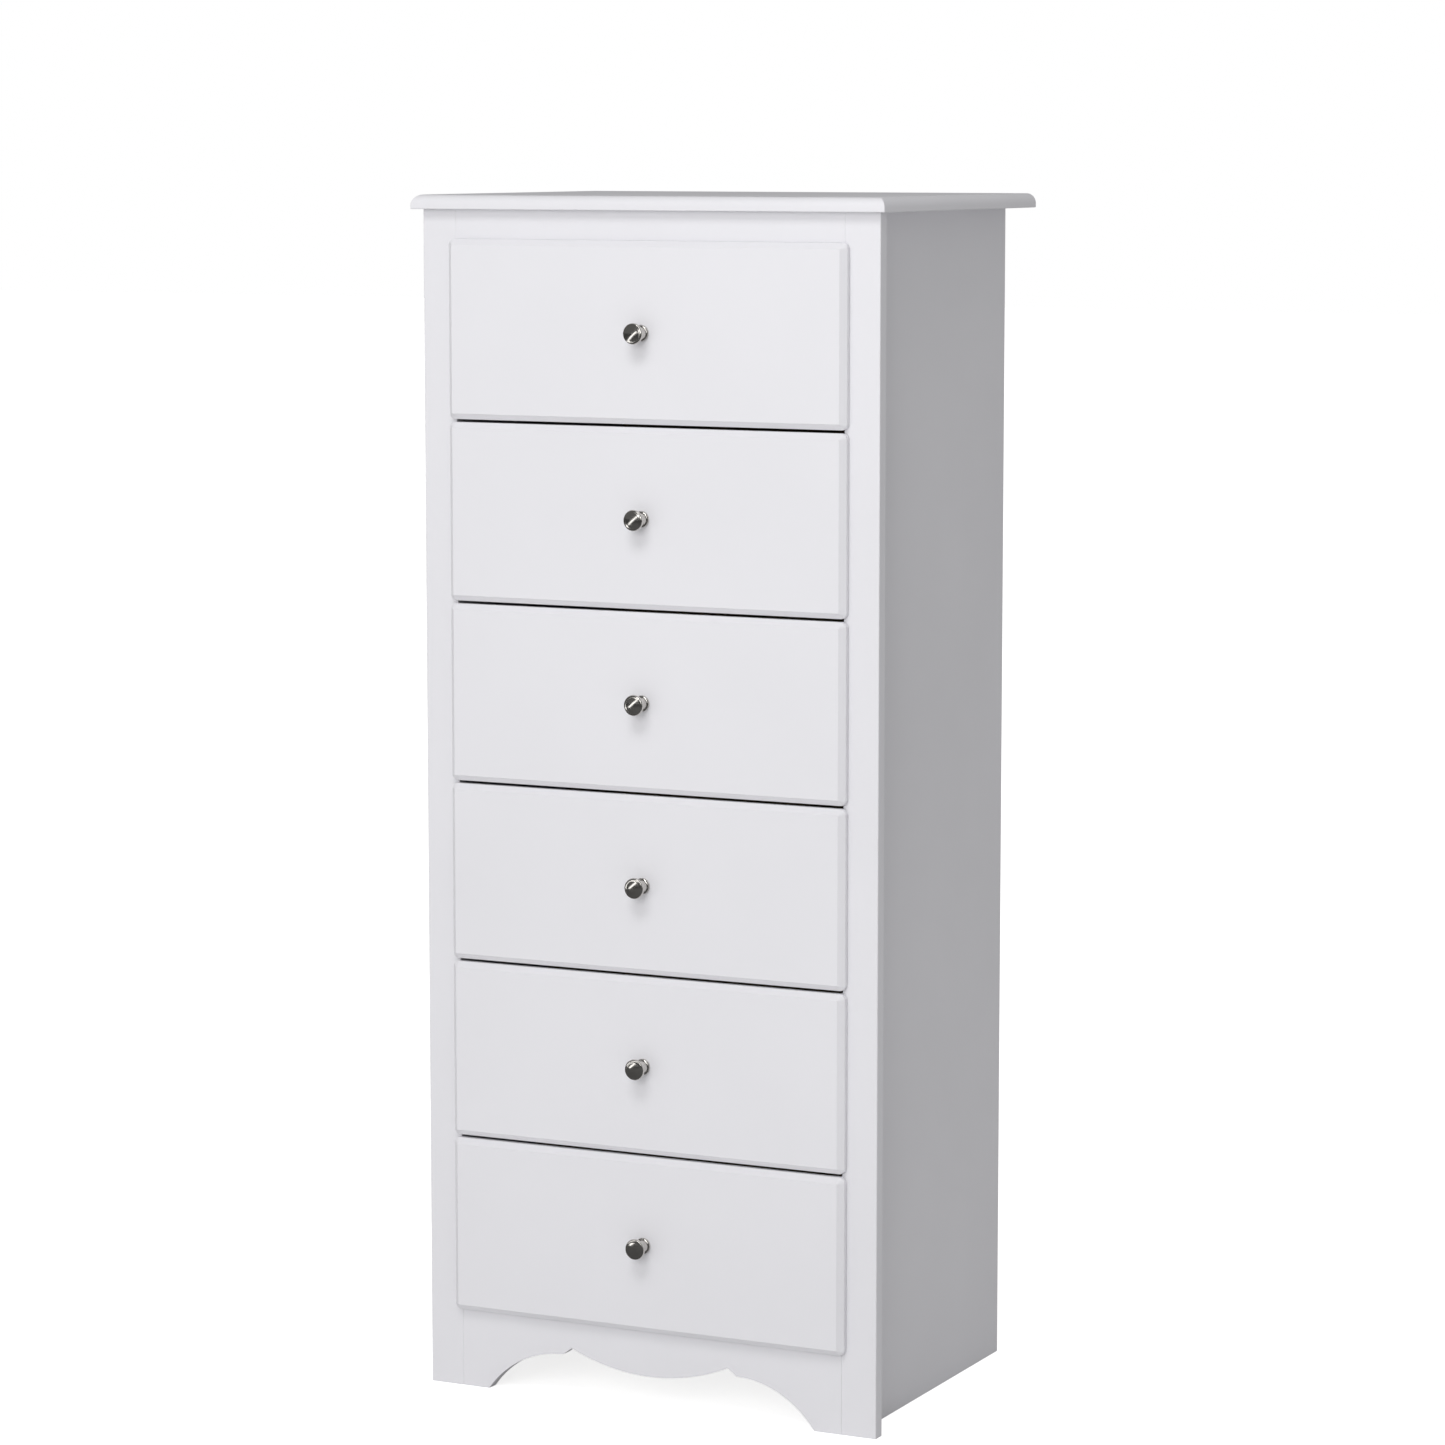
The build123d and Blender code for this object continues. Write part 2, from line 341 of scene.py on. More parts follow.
def new_group(name, inputs, outputs):
    """A node group with named sockets, and its input and output nodes."""
    tree = bpy.data.node_groups.new(name, "ShaderNodeTree")
    for label, kind in inputs.items():
        tree.interface.new_socket(name=label, in_out="INPUT", socket_type=kind)
    for label, kind in outputs.items():
        tree.interface.new_socket(name=label, in_out="OUTPUT", socket_type=kind)
    return tree, add_node(tree, "NodeGroupInput").outputs, add_node(tree, "NodeGroupOutput").inputs


def use_group(tree, build, **values):
    """Places a node group, built the first time, with its inputs set or linked."""
    name = build.__name__.replace("_", " ").title()
    if name not in bpy.data.node_groups:
        build(name)
    node = add_node(tree, "ShaderNodeGroup", node_tree=bpy.data.node_groups[name])
    return feed_all(tree, node, **values)


def mapped(tree, vector, **values):
    """Coordinates moved, turned or scaled."""
    return feed_all(tree, add_node(tree, "ShaderNodeMapping"), vector=vector, **values)["Vector"]


def noise(tree, vector, scale, detail=3.0, rough=0.5, stretch=None):
    """A noise texture's factor. stretch scales the coordinates first."""
    if stretch:
        vector = mapped(tree, vector, scale=stretch)
    return feed_all(tree, add_node(tree, "ShaderNodeTexNoise"), vector=vector, scale=scale,
                    detail=detail, roughness=rough)["Fac"]


def span(tree, value, low, high, to_low=0.0, to_high=1.0):
    """Maps a value from one range to another, clamped."""
    return feed_all(tree, add_node(tree, "ShaderNodeMapRange"), value=value, from_min=low,
                    from_max=high, to_min=to_low, to_max=to_high)["Result"]


def coordinate(tree, vector, axis):
    """One coordinate of a vector."""
    return feed_all(tree, add_node(tree, "ShaderNodeSeparateXYZ"), vector=vector)[axis]


def calculate(tree, operation, first, second):
    node = add_node(tree, "ShaderNodeMath", operation=operation)
    feed(tree, node.inputs[0], first)
    feed(tree, node.inputs[1], second)
    return node.outputs["Value"]


def blend_colours(tree, factor, first, second, blend="MIX"):
    node = add_node(tree, "ShaderNodeMix", data_type="RGBA", blend_type=blend)
    for label, value in (("Factor_Float", factor), ("A_Color", first), ("B_Color", second)):
        socket = next(item for item in node.inputs if item.identifier == label)
        feed(tree, socket, value)
    return next(item for item in node.outputs if item.identifier == "Result_Color")


def new_material(name, **constants):
    """A material, with its tree, its Principled BSDF's inputs and its object coordinates."""
    material = bpy.data.materials.new(name)
    material.use_nodes = True
    tree = material.node_tree
    shader = tree.nodes["Principled BSDF"].inputs
    for label, value in constants.items():
        shader[label.replace("_", " ")].default_value = value
    return material, tree, shader, add_node(tree, "ShaderNodeTexCoord").outputs["Object"]


def dress(tree, shader, base, roughness, height, depth, strength=0.6):
    """Feeds a finish's colour, roughness and bump to its shader."""
    bump = feed_all(tree, add_node(tree, "ShaderNodeBump"), height=height, distance=depth,
                    strength=strength)
    for label, value in (("Base Color", base), ("Roughness", roughness),
                         ("Normal", bump["Normal"])):
        tree.links.new(value, shader[label])


def finish(make):
    """The material that a function makes, made once."""
    name = make.__name__.replace("_", " ").title()
    return bpy.data.materials.get(name) or make(name, bpy.context.scene.chest_finish)


# Shared effects

FLOAT, COLOUR, VECTOR = "NodeSocketFloat", "NodeSocketColor", "NodeSocketVector"


def edge_wear(name):
    """Where hands and sanding show: the arris faces, broken up by noise."""
    tree, given, out = new_group(
        name, {"Vector": VECTOR, "Color": COLOUR, "Worn Color": COLOUR, "Amount": FLOAT},
        {"Color": COLOUR})
    edge = add_node(tree, "ShaderNodeAttribute", attribute_name="arris").outputs["Fac"]
    patches = span(tree, noise(tree, given["Vector"], scale=55.0), 0.46, 0.70)
    mask = calculate(tree, "MULTIPLY", calculate(tree, "MULTIPLY", edge, patches), given["Amount"])
    tree.links.new(blend_colours(tree, mask, given["Color"], given["Worn Color"]), out["Color"])


def sprayed_coat(name):
    """A smooth coat: slow changes of shade, patchy sheen, a fine stipple and a faint waviness."""
    tree, given, out = new_group(
        name, {"Vector": VECTOR, "Color": COLOUR, "Shaded Color": COLOUR, "Dull": FLOAT,
               "Bright": FLOAT, "Stipple": FLOAT},
        {"Color": COLOUR, "Roughness": FLOAT, "Height": FLOAT})
    place = given["Vector"]
    slow = span(tree, noise(tree, place, scale=3.5, detail=4.0), 0.35, 0.68)
    tree.links.new(blend_colours(tree, slow, given["Color"], given["Shaded Color"]), out["Color"])
    sheen = noise(tree, place, scale=24.0, detail=5.0, rough=0.6)
    tree.links.new(span(tree, sheen, 0.3, 0.7, given["Bright"], given["Dull"]), out["Roughness"])
    stipple = noise(tree, place, scale=given["Stipple"], detail=2.0, rough=0.45)
    waves = calculate(tree, "MULTIPLY", noise(tree, place, scale=16.0, detail=2.0), 3.0)
    tree.links.new(calculate(tree, "ADD", stipple, waves), out["Height"])


def pine_figure(name):
    """Sawn softwood with its grain along Y: growth rings, streaks and fibres."""
    tree, given, out = new_group(
        name, {"Vector": VECTOR, "Early Wood": COLOUR, "Late Wood": COLOUR},
        {"Color": COLOUR, "Roughness": FLOAT, "Height": FLOAT})
    place, early_wood, late_wood = given["Vector"], given["Early Wood"], given["Late Wood"]
    wander = feed_all(tree, add_node(tree, "ShaderNodeTexNoise"), scale=1.0, detail=2.0,
                      vector=mapped(tree, place, scale=(9.0, 1.1, 9.0)))["Color"]
    warped = add_node(tree, "ShaderNodeVectorMath", operation="MULTIPLY_ADD")
    for socket, value in zip(warped.inputs, (wander, (0.10, 0.0, 0.10), place)):
        feed(tree, socket, value)
    log = mapped(tree, warped.outputs["Vector"], location=(0.07, 0.0, 0.13),
                 rotation=(radians(1.2), 0.0, radians(1.6)), scale=(1.0, 0.10, 1.0))
    rings = add_node(tree, "ShaderNodeTexWave", wave_type="RINGS", rings_direction="Y",
                     wave_profile="SAW")
    ring = feed_all(tree, rings, vector=log, scale=24.0, distortion=1.5, detail=2.0,
                    detail_scale=0.5)["Fac"]
    late = span(tree, ring, 0.5, 1.0, 0.0, 0.55)
    streaks = noise(tree, place, scale=1.0, detail=3.0, stretch=(70.0, 3.0, 70.0))
    fibres = noise(tree, place, scale=1.0, detail=4.0, rough=0.6, stretch=(900.0, 14.0, 900.0))
    shade = blend_colours(tree, late, early_wood, late_wood)
    shade = blend_colours(tree, span(tree, streaks, 0.4, 0.7, 0.0, 0.30), shade, late_wood)
    shade = blend_colours(tree, span(tree, fibres, 0.4, 0.75, 0.0, 0.25), shade, late_wood)
    tree.links.new(shade, out["Color"])
    tree.links.new(span(tree, fibres, 0.25, 0.75, 0.42, 0.58), out["Roughness"])
    tree.links.new(calculate(tree, "ADD", calculate(tree, "MULTIPLY", late, 0.6), fibres),
                   out["Height"])


def plating(name):
    """Plating with faint mottling, and fine lines that follow a line coordinate."""
    tree, given, out = new_group(
        name, {"Vector": VECTOR, "Line": FLOAT, "Color": COLOUR, "Dull Color": COLOUR,
               "Bright": FLOAT, "Dull": FLOAT},
        {"Color": COLOUR, "Roughness": FLOAT, "Height": FLOAT})
    mottle = noise(tree, given["Vector"], scale=300.0, detail=4.0, rough=0.6)
    lines = feed_all(tree, add_node(tree, "ShaderNodeTexNoise", noise_dimensions="1D"),
                     w=given["Line"], scale=4200.0, detail=2.0)["Fac"]
    tarnish = span(tree, mottle, 0.4, 0.8, 0.0, 0.4)
    tree.links.new(blend_colours(tree, tarnish, given["Color"], given["Dull Color"]), out["Color"])
    both = calculate(tree, "MULTIPLY", calculate(tree, "ADD", lines, mottle), 0.5)
    tree.links.new(span(tree, both, 0.35, 0.65, given["Bright"], given["Dull"]), out["Roughness"])
    tree.links.new(lines, out["Height"])


# Materials

def satin_paint(name, colours):
    """Satin white paint on smooth board, thin at the edges."""
    material, tree, shader, place = new_material(name, IOR=1.48)
    paint = Vector(colours.paint)
    coat = use_group(tree, sprayed_coat, vector=place, color=paint, shaded_color=paint * 0.975,
                     bright=0.36, dull=0.46, stipple=520.0)
    worn = use_group(tree, edge_wear, vector=place, color=coat["Color"],
                     worn_color=(0.60, 0.57, 0.53), amount=0.14)
    dress(tree, shader, worn["Color"], coat["Roughness"], coat["Height"], 0.03 * MM)
    return material


def faced_board(name, colours):
    """White-faced chipboard, plainer than the paint and a little yellowed."""
    material, tree, shader, place = new_material(name, IOR=1.5)
    face = Vector(colours.faced)
    coat = use_group(tree, sprayed_coat, vector=place, color=face, shaded_color=face * 0.93,
                     bright=0.44, dull=0.62, stipple=1400.0)
    worn = use_group(tree, edge_wear, vector=place, color=coat["Color"],
                     worn_color=(0.42, 0.31, 0.19), amount=0.7)
    dress(tree, shader, worn["Color"], coat["Roughness"], coat["Height"], 0.05 * MM)
    return material


def rail_enamel(name, colours):
    """White enamel on pressed steel, rubbed in streaks along the travel."""
    material, tree, shader, place = new_material(name, IOR=1.5)
    enamel = Vector(colours.enamel)
    coat = use_group(tree, sprayed_coat, vector=place, color=enamel, shaded_color=enamel * 0.9,
                     bright=0.22, dull=0.38, stipple=1500.0)
    streaks = noise(tree, place, scale=1.0, stretch=(300.0, 8.0, 300.0))
    rubbed = blend_colours(tree, span(tree, streaks, 0.56, 0.80, 0.0, 0.16), coat["Color"],
                           (0.40, 0.40, 0.39))
    dress(tree, shader, rubbed, coat["Roughness"], coat["Height"], 0.02 * MM)
    return material


def sealed_pine(name, colours, turn):
    """Clear-sealed pine whose grain is turned from Y by an angle about Z."""
    material, tree, shader, place = new_material(name, IOR=1.5)
    pine = use_group(tree, pine_figure, vector=mapped(tree, place, rotation=(0.0, 0.0, turn)),
                     early_wood=colours.early[:], late_wood=colours.late[:])
    worn = use_group(tree, edge_wear, vector=place, color=pine["Color"],
                     worn_color=Vector(colours.late) * 0.7, amount=0.4)
    dress(tree, shader, worn["Color"], pine["Roughness"], pine["Height"], 0.06 * MM)
    return material


def pine_along(name, colours):
    return sealed_pine(name, colours, 0.0)


def pine_across(name, colours):
    return sealed_pine(name, colours, pi / 2)


def screen_print(tree, place):
    """The press screen's woven print, on faces that look to the back."""
    threads = []
    for direction in ("X", "Z"):
        wave = add_node(tree, "ShaderNodeTexWave", wave_type="BANDS", bands_direction=direction)
        threads.append(feed_all(tree, wave, vector=place, scale=120.0, distortion=0.6,
                                detail=1.0)["Fac"])
    normal = add_node(tree, "ShaderNodeTexCoord").outputs["Normal"]
    to_back = span(tree, coordinate(tree, normal, "Y"), 0.4, 0.6)
    return calculate(tree, "MULTIPLY", calculate(tree, "MULTIPLY", *threads), to_back)


def pressed_hardboard(name, colours):
    """Hardboard: mottled, flecked with pale fibres, screen-printed at the back."""
    material, tree, shader, place = new_material(name, IOR=1.45)
    brown = Vector(colours.hardboard)
    clumps = noise(tree, place, scale=140.0, detail=6.0, rough=0.7)
    fibres = noise(tree, place, scale=900.0, detail=3.0, rough=0.6)
    mottled = blend_colours(tree, span(tree, clumps, 0.3, 0.7, 0.0, 0.8), brown, brown * 0.62)
    flecked = blend_colours(tree, span(tree, fibres, 0.58, 0.74, 0.0, 0.6), mottled, brown * 1.45)
    worn = use_group(tree, edge_wear, vector=place, color=flecked, worn_color=brown * 1.7,
                     amount=0.5)
    height = calculate(tree, "ADD", calculate(tree, "MULTIPLY", fibres, 0.35),
                       screen_print(tree, place))
    sheen = span(tree, clumps, 0.2, 0.8, 0.46, 0.68)
    dress(tree, shader, worn["Color"], sheen, height, 0.12 * MM)
    return material


def satin_nickel(name, colours):
    """Polished nickel, turned in fine rings."""
    material, tree, shader, place = new_material(name, Metallic=1.0)
    ring = add_node(tree, "ShaderNodeAttribute", attribute_name="turning_radius").outputs["Fac"]
    nickel = Vector(colours.nickel)
    metal = use_group(tree, plating, vector=place, line=ring, color=nickel, dull_color=nickel * 0.8,
                      bright=0.07, dull=0.15)
    dress(tree, shader, metal["Color"], metal["Roughness"], metal["Height"], 0.003 * MM, 0.4)
    return material


def zinc_plate(name, colours):
    """Bright zinc on screws, nails and fittings."""
    material, tree, shader, place = new_material(name, Metallic=1.0)
    zinc = Vector(colours.zinc)
    metal = use_group(tree, plating, vector=place, line=coordinate(tree, place, "Z"), color=zinc,
                      dull_color=zinc * 0.6, bright=0.26, dull=0.46)
    dress(tree, shader, metal["Color"], metal["Roughness"], metal["Height"], 0.004 * MM, 0.5)
    return material


# Case pieces

def moulded_top(shape):
    """The top: a quarter-round at the front and sides over a small square lip."""
    low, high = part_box("top_panel")
    middle = (low + high) / 2

    def front_and_sides(test):
        return [edge for edge in edges_where(bm, test)
                if any(vert.co.y < middle.y for vert in edge.verts)]

    bm = bmesh.new()
    add_box(bm, low, high)
    round_edges(bm, front_and_sides(lambda co: co.z > middle.z), shape.roundover, steps=14,
                mark=False)
    round_edges(bm, front_and_sides(lambda co: co.z < low.z + LEVEL), shape.top_lip, steps=4)
    round_edges(bm, convex_edges(bm), shape.ease)
    return bm


def stile(name, shape):
    """A stile, rounder at its outer front edge."""
    low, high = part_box(name)
    outer = high.x if high.x > -low.x else low.x
    bm = bmesh.new()
    add_box(bm, low, high)
    corner = edges_where(bm, lambda co: abs(co.x - outer) < LEVEL and co.y < low.y + LEVEL)
    round_edges(bm, corner, shape.frame_corner, steps=5)
    round_edges(bm, convex_edges(bm, 50.0), shape.ease)
    return bm


def side_panel(name, shape):
    """A side panel, rebated for the back panel above its lower edge."""
    low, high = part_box(name)
    back_low, back_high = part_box("back_panel")
    bm = bmesh.new()
    add_box(bm, low, (high.x, back_low.y, high.z))
    rear = farthest_face(bm, (0, 1, 0))
    outer_low, outer_high = (back_high.x, high.x) if low.x > 0 else (low.x, back_low.x)
    foot = cut_out(bm, rear, low, Vector((high.x, high.y, back_low.z)), (2,))
    upper = next(face for face in bm.faces
                 if face != foot and abs(face.calc_center_median().y - back_low.y) < LEVEL)
    edge = cut_out(bm, upper, Vector((outer_low, 0, 0)), Vector((outer_high, 0, 0)), (0,))
    pull(bm, [foot, edge], (0.0, high.y - back_low.y, 0.0))
    round_edges(bm, convex_edges(bm), shape.ease, steps=2)
    return bm


def scalloped_apron(shape):
    """The apron: a bracket curve at each foot, a notch beside it and a lobe in the middle."""
    low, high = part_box("apron")
    foot, bracket, bracket_end = (192.0 * MM, 0.0), (150.0 * MM, 36.0 * MM), (102.0 * MM, 47.5 * MM)
    notch, lobe = (92.0 * MM, 55.0 * MM), (0.0, 35.0 * MM)
    bracket_steps, lobe_steps = 24, 36

    def at(spot, side=1):
        return (side * spot[0], low.y, spot[1])

    bm = bmesh.new()
    start = bm.verts.new(at((high.x, 0.0)))
    last = add_line(bm, start, at(foot))
    last = add_arc(bm, last, at(bracket), at(bracket_end), bracket_steps)
    last = add_line(bm, last, at(notch))
    last = add_arc(bm, last, at(lobe), at(notch, -1), lobe_steps)
    last = add_line(bm, last, at(bracket_end, -1))
    last = add_arc(bm, last, at(bracket, -1), at(foot, -1), bracket_steps)
    for spot in ((low.x, 0.0), (low.x, high.z), (high.x, high.z)):
        last = add_line(bm, last, at(spot))
    bm.edges.new((last, start))
    outline = bmesh.ops.contextual_create(bm, geom=bm.edges[:])["faces"][0]
    pull(bm, [outline], (0.0, high.y - low.y, 0.0))
    round_edges(bm, convex_edges(bm), shape.ease, steps=2)
    return bm


def nail_places():
    """Nails round the back panel and along the base panel's rear edge, as places across and up."""
    low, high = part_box("back_panel")
    base_low, base_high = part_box("base_panel")
    from_side, from_end, rows, columns = 3.2 * MM, 30.0 * MM, 11, 4
    places = []
    for height in spread(low.z, high.z, from_end, rows):
        places += [(low.x + from_side, height), (high.x - from_side, height)]
    for across in spread(low.x, high.x, (high.x - low.x) / (columns + 1), columns):
        places += [(across, high.z - from_end), (across, (base_low.z + base_high.z) / 2)]
    return places


def glued_blocks(shape):
    """The corner blocks, each rebuilt from its own solid's corners with eased edges."""
    solid = bmesh.new()
    solid.from_mesh(frame["nodes"]["corner_blocks"].data)
    bmesh.ops.remove_doubles(solid, verts=solid.verts[:], dist=TOUCHING)
    bm = bmesh.new()
    seen = set()
    for first in solid.verts:
        if first in seen:
            continue
        seen.add(first)
        corners, queue = [], [first]
        while queue:
            vert = queue.pop()
            corners.append(vert.co)
            near = {edge.other_vert(vert) for edge in vert.link_edges} - seen
            seen |= near
            queue += near
        low = [min(corner[axis] for corner in corners) for axis in range(3)]
        high = [max(corner[axis] for corner in corners) for axis in range(3)]
        add_box(bm, low, high)
    solid.free()
    round_edges(bm, bm.edges[:], shape.ease, steps=2)
    return bm


# Drawer pieces

def softened(before, corner, after, steps=4):
    """Points of a short curve that softens a corner between two places."""
    return [before.lerp(corner, step / steps).lerp(corner.lerp(after, step / steps), step / steps)
            for step in range(steps + 1)]


def bevel_steps(shape):
    """The bevel's section, as insets and heights over the lip's back: foot, slope and crown."""
    slope = Vector((1.0, 1.0)).normalized()
    foot = Vector((0.0, shape.front_lip - shape.front_bevel))
    crown = Vector((shape.front_bevel, shape.front_lip))
    return (softened(foot - Vector((0.0, shape.bevel_foot)), foot, foot + slope * shape.bevel_foot)
            + softened(crown - slope * shape.bevel_crown, crown,
                       crown + Vector((shape.bevel_crown, 0.0))))


def lipped_front(node, shape):
    """A drawer front: bevelled all round, with round corners and a grooved tongue."""
    low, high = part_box(node)
    bottom_low, bottom_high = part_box(node.replace("front", "bottom"))
    lip_back = low.y + shape.front_lip
    steps = bevel_steps(shape)
    bm = bmesh.new()
    arris = bm.faces.layers.float.new("arris")
    add_box(bm, (low.x, lip_back - steps[0].y, low.z), (high.x, lip_back, high.z))
    round_edges(bm, edges_along(bm.edges, 1), shape.front_corner, steps=10, mark=False)
    bmesh.ops.recalc_face_normals(bm, faces=bm.faces[:])
    front = farthest_face(bm, (0, -1, 0))
    for before, after in zip(steps, steps[1:]):
        ring = bmesh.ops.inset_region(
            bm, faces=[front], thickness=after.x - before.x, depth=after.y - before.y,
            use_even_offset=True, use_boundary=True)
        narrow = (after - before).length < shape.bevel_foot
        for face in ring["faces"]:
            face[arris] = float(narrow)
    back = farthest_face(bm, (0, 1, 0))
    inset = Vector((shape.tongue_side, 0.0, shape.tongue_margin))
    tongue = cut_out(bm, back, low + inset, high - inset, (0, 2))
    tongue = pull(bm, [tongue], (0.0, high.y - lip_back, 0.0))
    play = Vector((2 * shape.groove_play, 0.0, shape.groove_play))
    groove = cut_out(bm, tongue, bottom_low - play, bottom_high + play, (0, 2))
    pull(bm, [groove], (0.0, -shape.groove_depth, 0.0))
    return bm


def ease_box_board(bm, axis, top, shape):
    """Rounds the upper edges that run along an axis of a drawer's board, then eases the others."""
    upper = edges_along(edges_where(bm, lambda co: co.z > top - LEVEL), axis)
    round_edges(bm, upper, shape.box_ease, steps=4)
    round_edges(bm, convex_edges(bm), shape.ease / 2, steps=2)
    return bm


def grooved_side(node, shape):
    """A drawer side with a groove along its inner face for the bottom, and rounded upper edges."""
    low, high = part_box(node)
    bottom_low, bottom_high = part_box(node[:node.index("side")] + "bottom")
    size, middle = high - low, (low + high) / 2
    groove_low = Vector((low.x, 0.0, bottom_low.z - shape.groove_play))
    groove_high = Vector((high.x, 0.0, bottom_high.z + shape.groove_play))
    if low.x > 0:
        groove_high.x = low.x + shape.groove_depth
    else:
        groove_low.x = high.x - shape.groove_depth
    bm = bmesh.new()
    place = (Matrix.Translation((middle.x, low.y, middle.z)) @ Matrix.Rotation(pi / 2, 4, "X")
             @ Matrix.Diagonal((size.x, size.z, 1.0, 1.0)))
    bmesh.ops.create_grid(bm, x_segments=1, y_segments=1, size=0.5, matrix=place)
    hollow = cut_out(bm, bm.faces[:][0], groove_low, groove_high, (2, 0))
    bmesh.ops.delete(bm, geom=[hollow], context="FACES")
    section = bmesh.ops.dissolve_faces(bm, faces=bm.faces[:])["region"][0]
    pull(bm, [section], (0.0, size.y, 0.0))
    return ease_box_board(bm, 1, high.z, shape)


def drawer_back(node, shape):
    """A drawer's back board, rounded along its upper edges."""
    low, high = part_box(node)
    bm = bmesh.new()
    add_box(bm, low, high)
    return ease_box_board(bm, 0, high.z, shape)


def drawer_fittings(drawer):
    """Cams inside the sides, screws into the back board, and nails up through the bottom."""
    side_low, side_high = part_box(f"{drawer}_side_right")
    back_low, back_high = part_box(f"{drawer}_back")
    bottom_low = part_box(f"{drawer}_bottom")[0]
    back_middle = (back_low.y + back_high.y) / 2
    cam_setback, cam_rises = 30.0 * MM, (45.0 * MM, 110.0 * MM)
    screw_rises = (18.0 * MM, 122.0 * MM)
    nail_count, nail_margin = 5, 20.0 * MM
    bm = bmesh.new()
    for side in (1.0, -1.0):
        for rise in cam_rises:
            cam = (side * side_low.x, side_low.y + cam_setback, side_low.z + rise)
            add_driven_head(bm, cam, (-side, 0.0, 0.0), *CAM)
        for rise in screw_rises:
            screw = (side * side_high.x, back_middle, side_low.z + rise)
            add_driven_head(bm, screw, (side, 0.0, 0.0), *BOX_SCREW)
    for across in spread(back_low.x, back_high.x, nail_margin, nail_count):
        add_head(bm, (across, back_middle, bottom_low.z), (0.0, 0.0, -1.0), *BOX_NAIL)
    return bm


# Slides and knobs

def add_rail_screws(bm, node, web, inward, height):
    """Adds screw heads along the webs of a pair of rails, which face inward or outward at web."""
    low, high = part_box(node)
    margin, count = (high.y - low.y) / 10, 3
    for side in (1.0, -1.0):
        for y in spread(low.y, high.y, margin, count):
            add_driven_head(bm, (side * web, y, height), (-side if inward else side, 0.0, 0.0),
                            *RAIL_SCREW)


def turned_knob(node, shape):
    """A mushroom knob: round base, waisted neck, rimmed and domed head, blind screw hole."""
    low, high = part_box(node)
    seat, axis_height = high.y, (low.z + high.z) / 2
    # The section, in millimetres from the knob's axis and out from the drawer front
    hole, hole_depth = 2.05, 12.0
    base, base_wall, base_round, shoulder = 8.5, 1.6, (7.9, 2.6), (6.5, 3.0)
    neck, head_start, rim, rim_end = (5.2, 8.0), (8.5, 15.5), (11.0, 18.3), (10.0, 21.1)
    dome_radius, dome_height = 8.4, 0.9
    base_steps, neck_steps, rim_steps, dome_steps = 6, 16, 12, 8

    def at(radius, out):
        return (radius * MM, seat - out * MM, axis_height)

    bm = bmesh.new()
    last = bm.verts.new(at(0.0, hole_depth))
    for place in (at(hole, hole_depth), at(hole, 0.0), at(base, 0.0), at(base, base_wall)):
        last = add_line(bm, last, place)
    last = add_arc(bm, last, at(*base_round), at(*shoulder), base_steps)
    last = add_arc(bm, last, at(*neck), at(*head_start), neck_steps)
    last = add_arc(bm, last, at(*rim), at(*rim_end), rim_steps)
    last = add_line(bm, last, at(dome_radius, rim_end[1]))
    for step in range(1, dome_steps + 1):
        share = 1.0 - step / dome_steps
        rise = dome_height * (1.0 - share ** 2)
        last = add_line(bm, last, at(dome_radius * share, rim_end[1] + rise))
    bmesh.ops.spin(bm, geom=bm.verts[:] + bm.edges[:], cent=(0.0, seat, axis_height),
                   axis=(0.0, 1.0, 0.0), angle=2 * pi, steps=shape.knob_steps, use_merge=True)
    bmesh.ops.remove_doubles(bm, verts=bm.verts[:], dist=TOUCHING / 10)
    turning = bm.verts.layers.float.new("turning_radius")
    for vert in bm.verts:
        vert[turning] = Vector((vert.co.x, vert.co.z - axis_height)).length
    return bm


# Studio

def add_floor(scene):
    """A wide pale floor that the camera sees as white and mirrors see as dark."""
    reach, glow, mirrored = 30.0, 0.78, (0.12, 0.12, 0.12)
    bm = bmesh.new()
    bmesh.ops.create_grid(bm, x_segments=1, y_segments=1, size=reach)
    mesh = bpy.data.meshes.new("Floor")
    bm.to_mesh(mesh)
    bm.free()
    floor = bpy.data.objects.new("Floor", mesh)
    scene.collection.objects.link(floor)
    material, tree, shader, place = new_material("Pale Floor", Roughness=0.9)
    shader["Specular IOR Level"].default_value = 0.0
    pale = span(tree, noise(tree, place, scale=3.0), 0.3, 0.7)
    even = blend_colours(tree, pale, (0.86, 0.86, 0.86), (0.88, 0.88, 0.88))
    rays = add_node(tree, "ShaderNodeLightPath").outputs
    tree.links.new(blend_colours(tree, rays["Is Glossy Ray"], even, mirrored), shader["Base Color"])
    shader["Emission Color"].default_value = (1.0, 1.0, 1.0, 1.0)
    tree.links.new(calculate(tree, "MULTIPLY", rays["Is Camera Ray"], glow),
                   shader["Emission Strength"])
    mesh.materials.append(material)


def add_light(scene, name, power, size, place, aim, lean=0.0):
    """A rectangular soft light, aimed at a place and leaning by an angle."""
    light = bpy.data.lights.new(name, "AREA")
    light.shape, light.energy = "RECTANGLE", power
    light.size, light.size_y = size
    made = bpy.data.objects.new(name, light)
    turn = (Vector(aim) - Vector(place)).to_track_quat("-Z", "Y").to_matrix().to_4x4()
    made.matrix_world = Matrix.Translation(place) @ turn @ Matrix.Rotation(lean, 4, "Z")
    scene.collection.objects.link(made)


